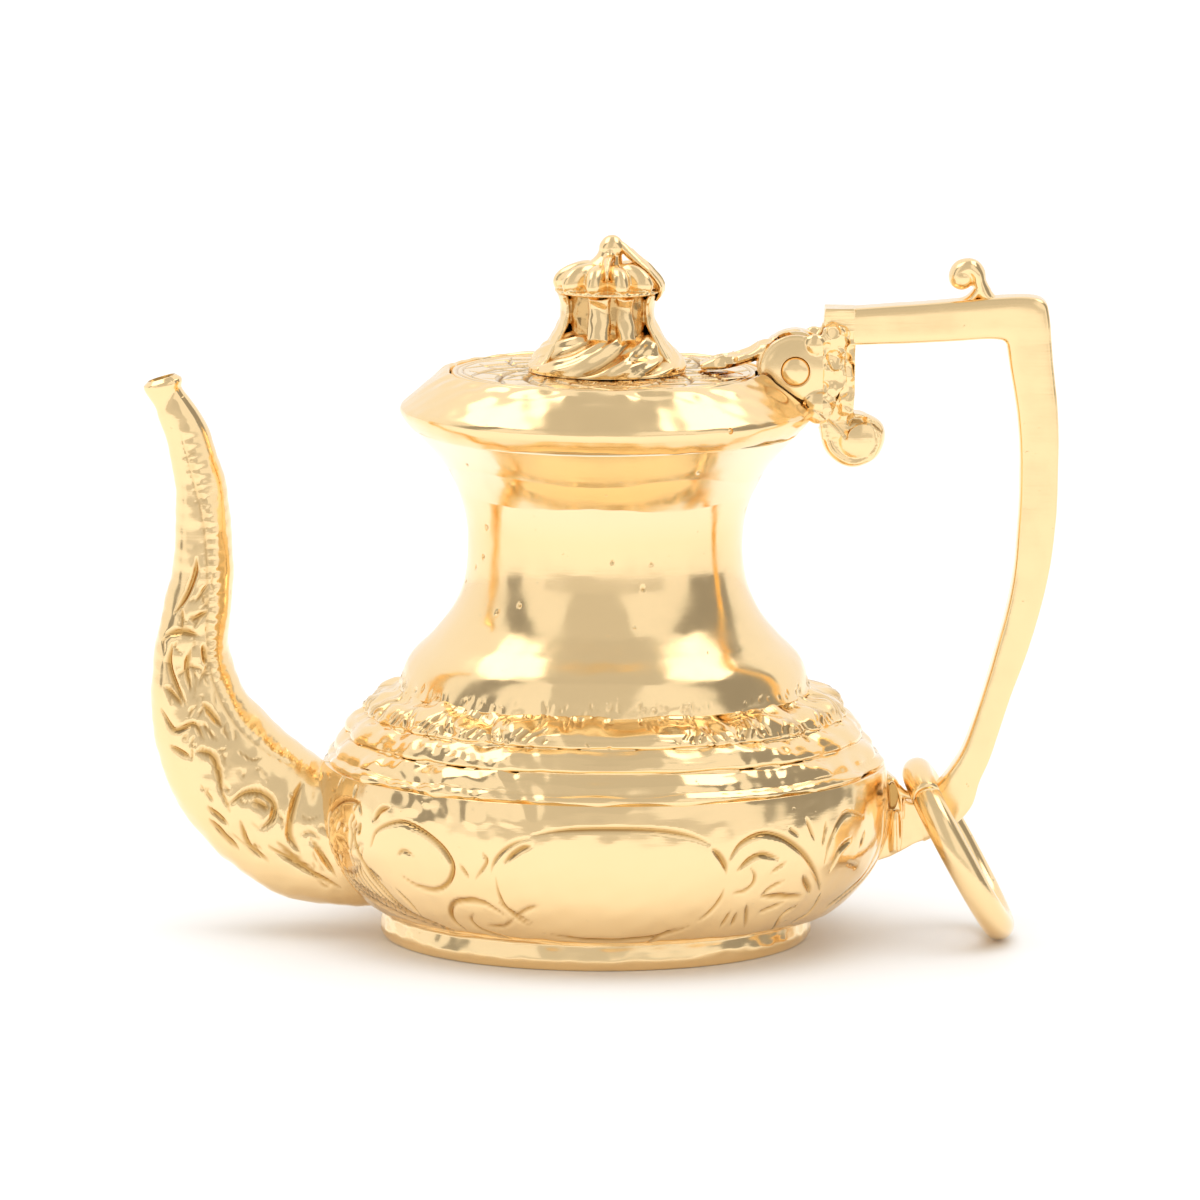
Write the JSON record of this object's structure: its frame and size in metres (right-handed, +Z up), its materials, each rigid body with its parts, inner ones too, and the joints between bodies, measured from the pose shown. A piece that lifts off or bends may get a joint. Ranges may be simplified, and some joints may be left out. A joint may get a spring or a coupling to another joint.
{
  "type": "coffee pot charm",
  "caption": "Small gold charm shaped as an engraved coffee pot, with a hinged lid, a hollow spout, a bar handle and a jump ring to hang it by.",
  "frame": {"origin": "on the pot's own axis, on the plane that its foot stands on", "axes": "+Z up, +X towards the handle, -X towards the spout, -Y towards the viewer of its engraved front"},
  "size_m": [0.0274, 0.0172, 0.0211],
  "materials": {
    "polished_gold": "polished yellow gold",
    "engraved_gold": "polished yellow gold, chased and engraved"
  },
  "bodies": {
    "pot": {"foot_ring": "polished_gold", "base_plate": "polished_gold", "bowl": "engraved_gold", "shoulder_band": "engraved_gold", "neck": "polished_gold", "rim_collar": "polished_gold", "spout": "engraved_gold", "handle_socket": "engraved_gold", "handle_loop": "polished_gold", "thumb_scroll": "polished_gold", "handle_lug": "polished_gold", "hinge_lug_front": "polished_gold", "hinge_lug_back": "polished_gold", "hinge_pin": "polished_gold"},
    "lid": {"lid_plate": "engraved_gold", "lid_strap": "polished_gold", "finial_skirt": "engraved_gold", "finial_stem": "engraved_gold", "finial_cap": "engraved_gold", "finial_bud": "polished_gold", "finial_leaf": "engraved_gold"},
    "ring": {"jump_ring": "polished_gold"}
  },
  "joints": [
    {"name": "lid_hinge", "type": "hinge", "parent": "pot", "child": "lid", "pos_m": [0.00562, 0, 0.01722], "axis": [0, 1, 0], "range_deg": [0, 98]},
    {"name": "ring_swing", "type": "hinge", "parent": "pot", "child": "ring", "pos_m": [0.00938, 0, 0.00502], "axis": [0, -1, 0], "range_deg": [-44, 98]}
  ]
}
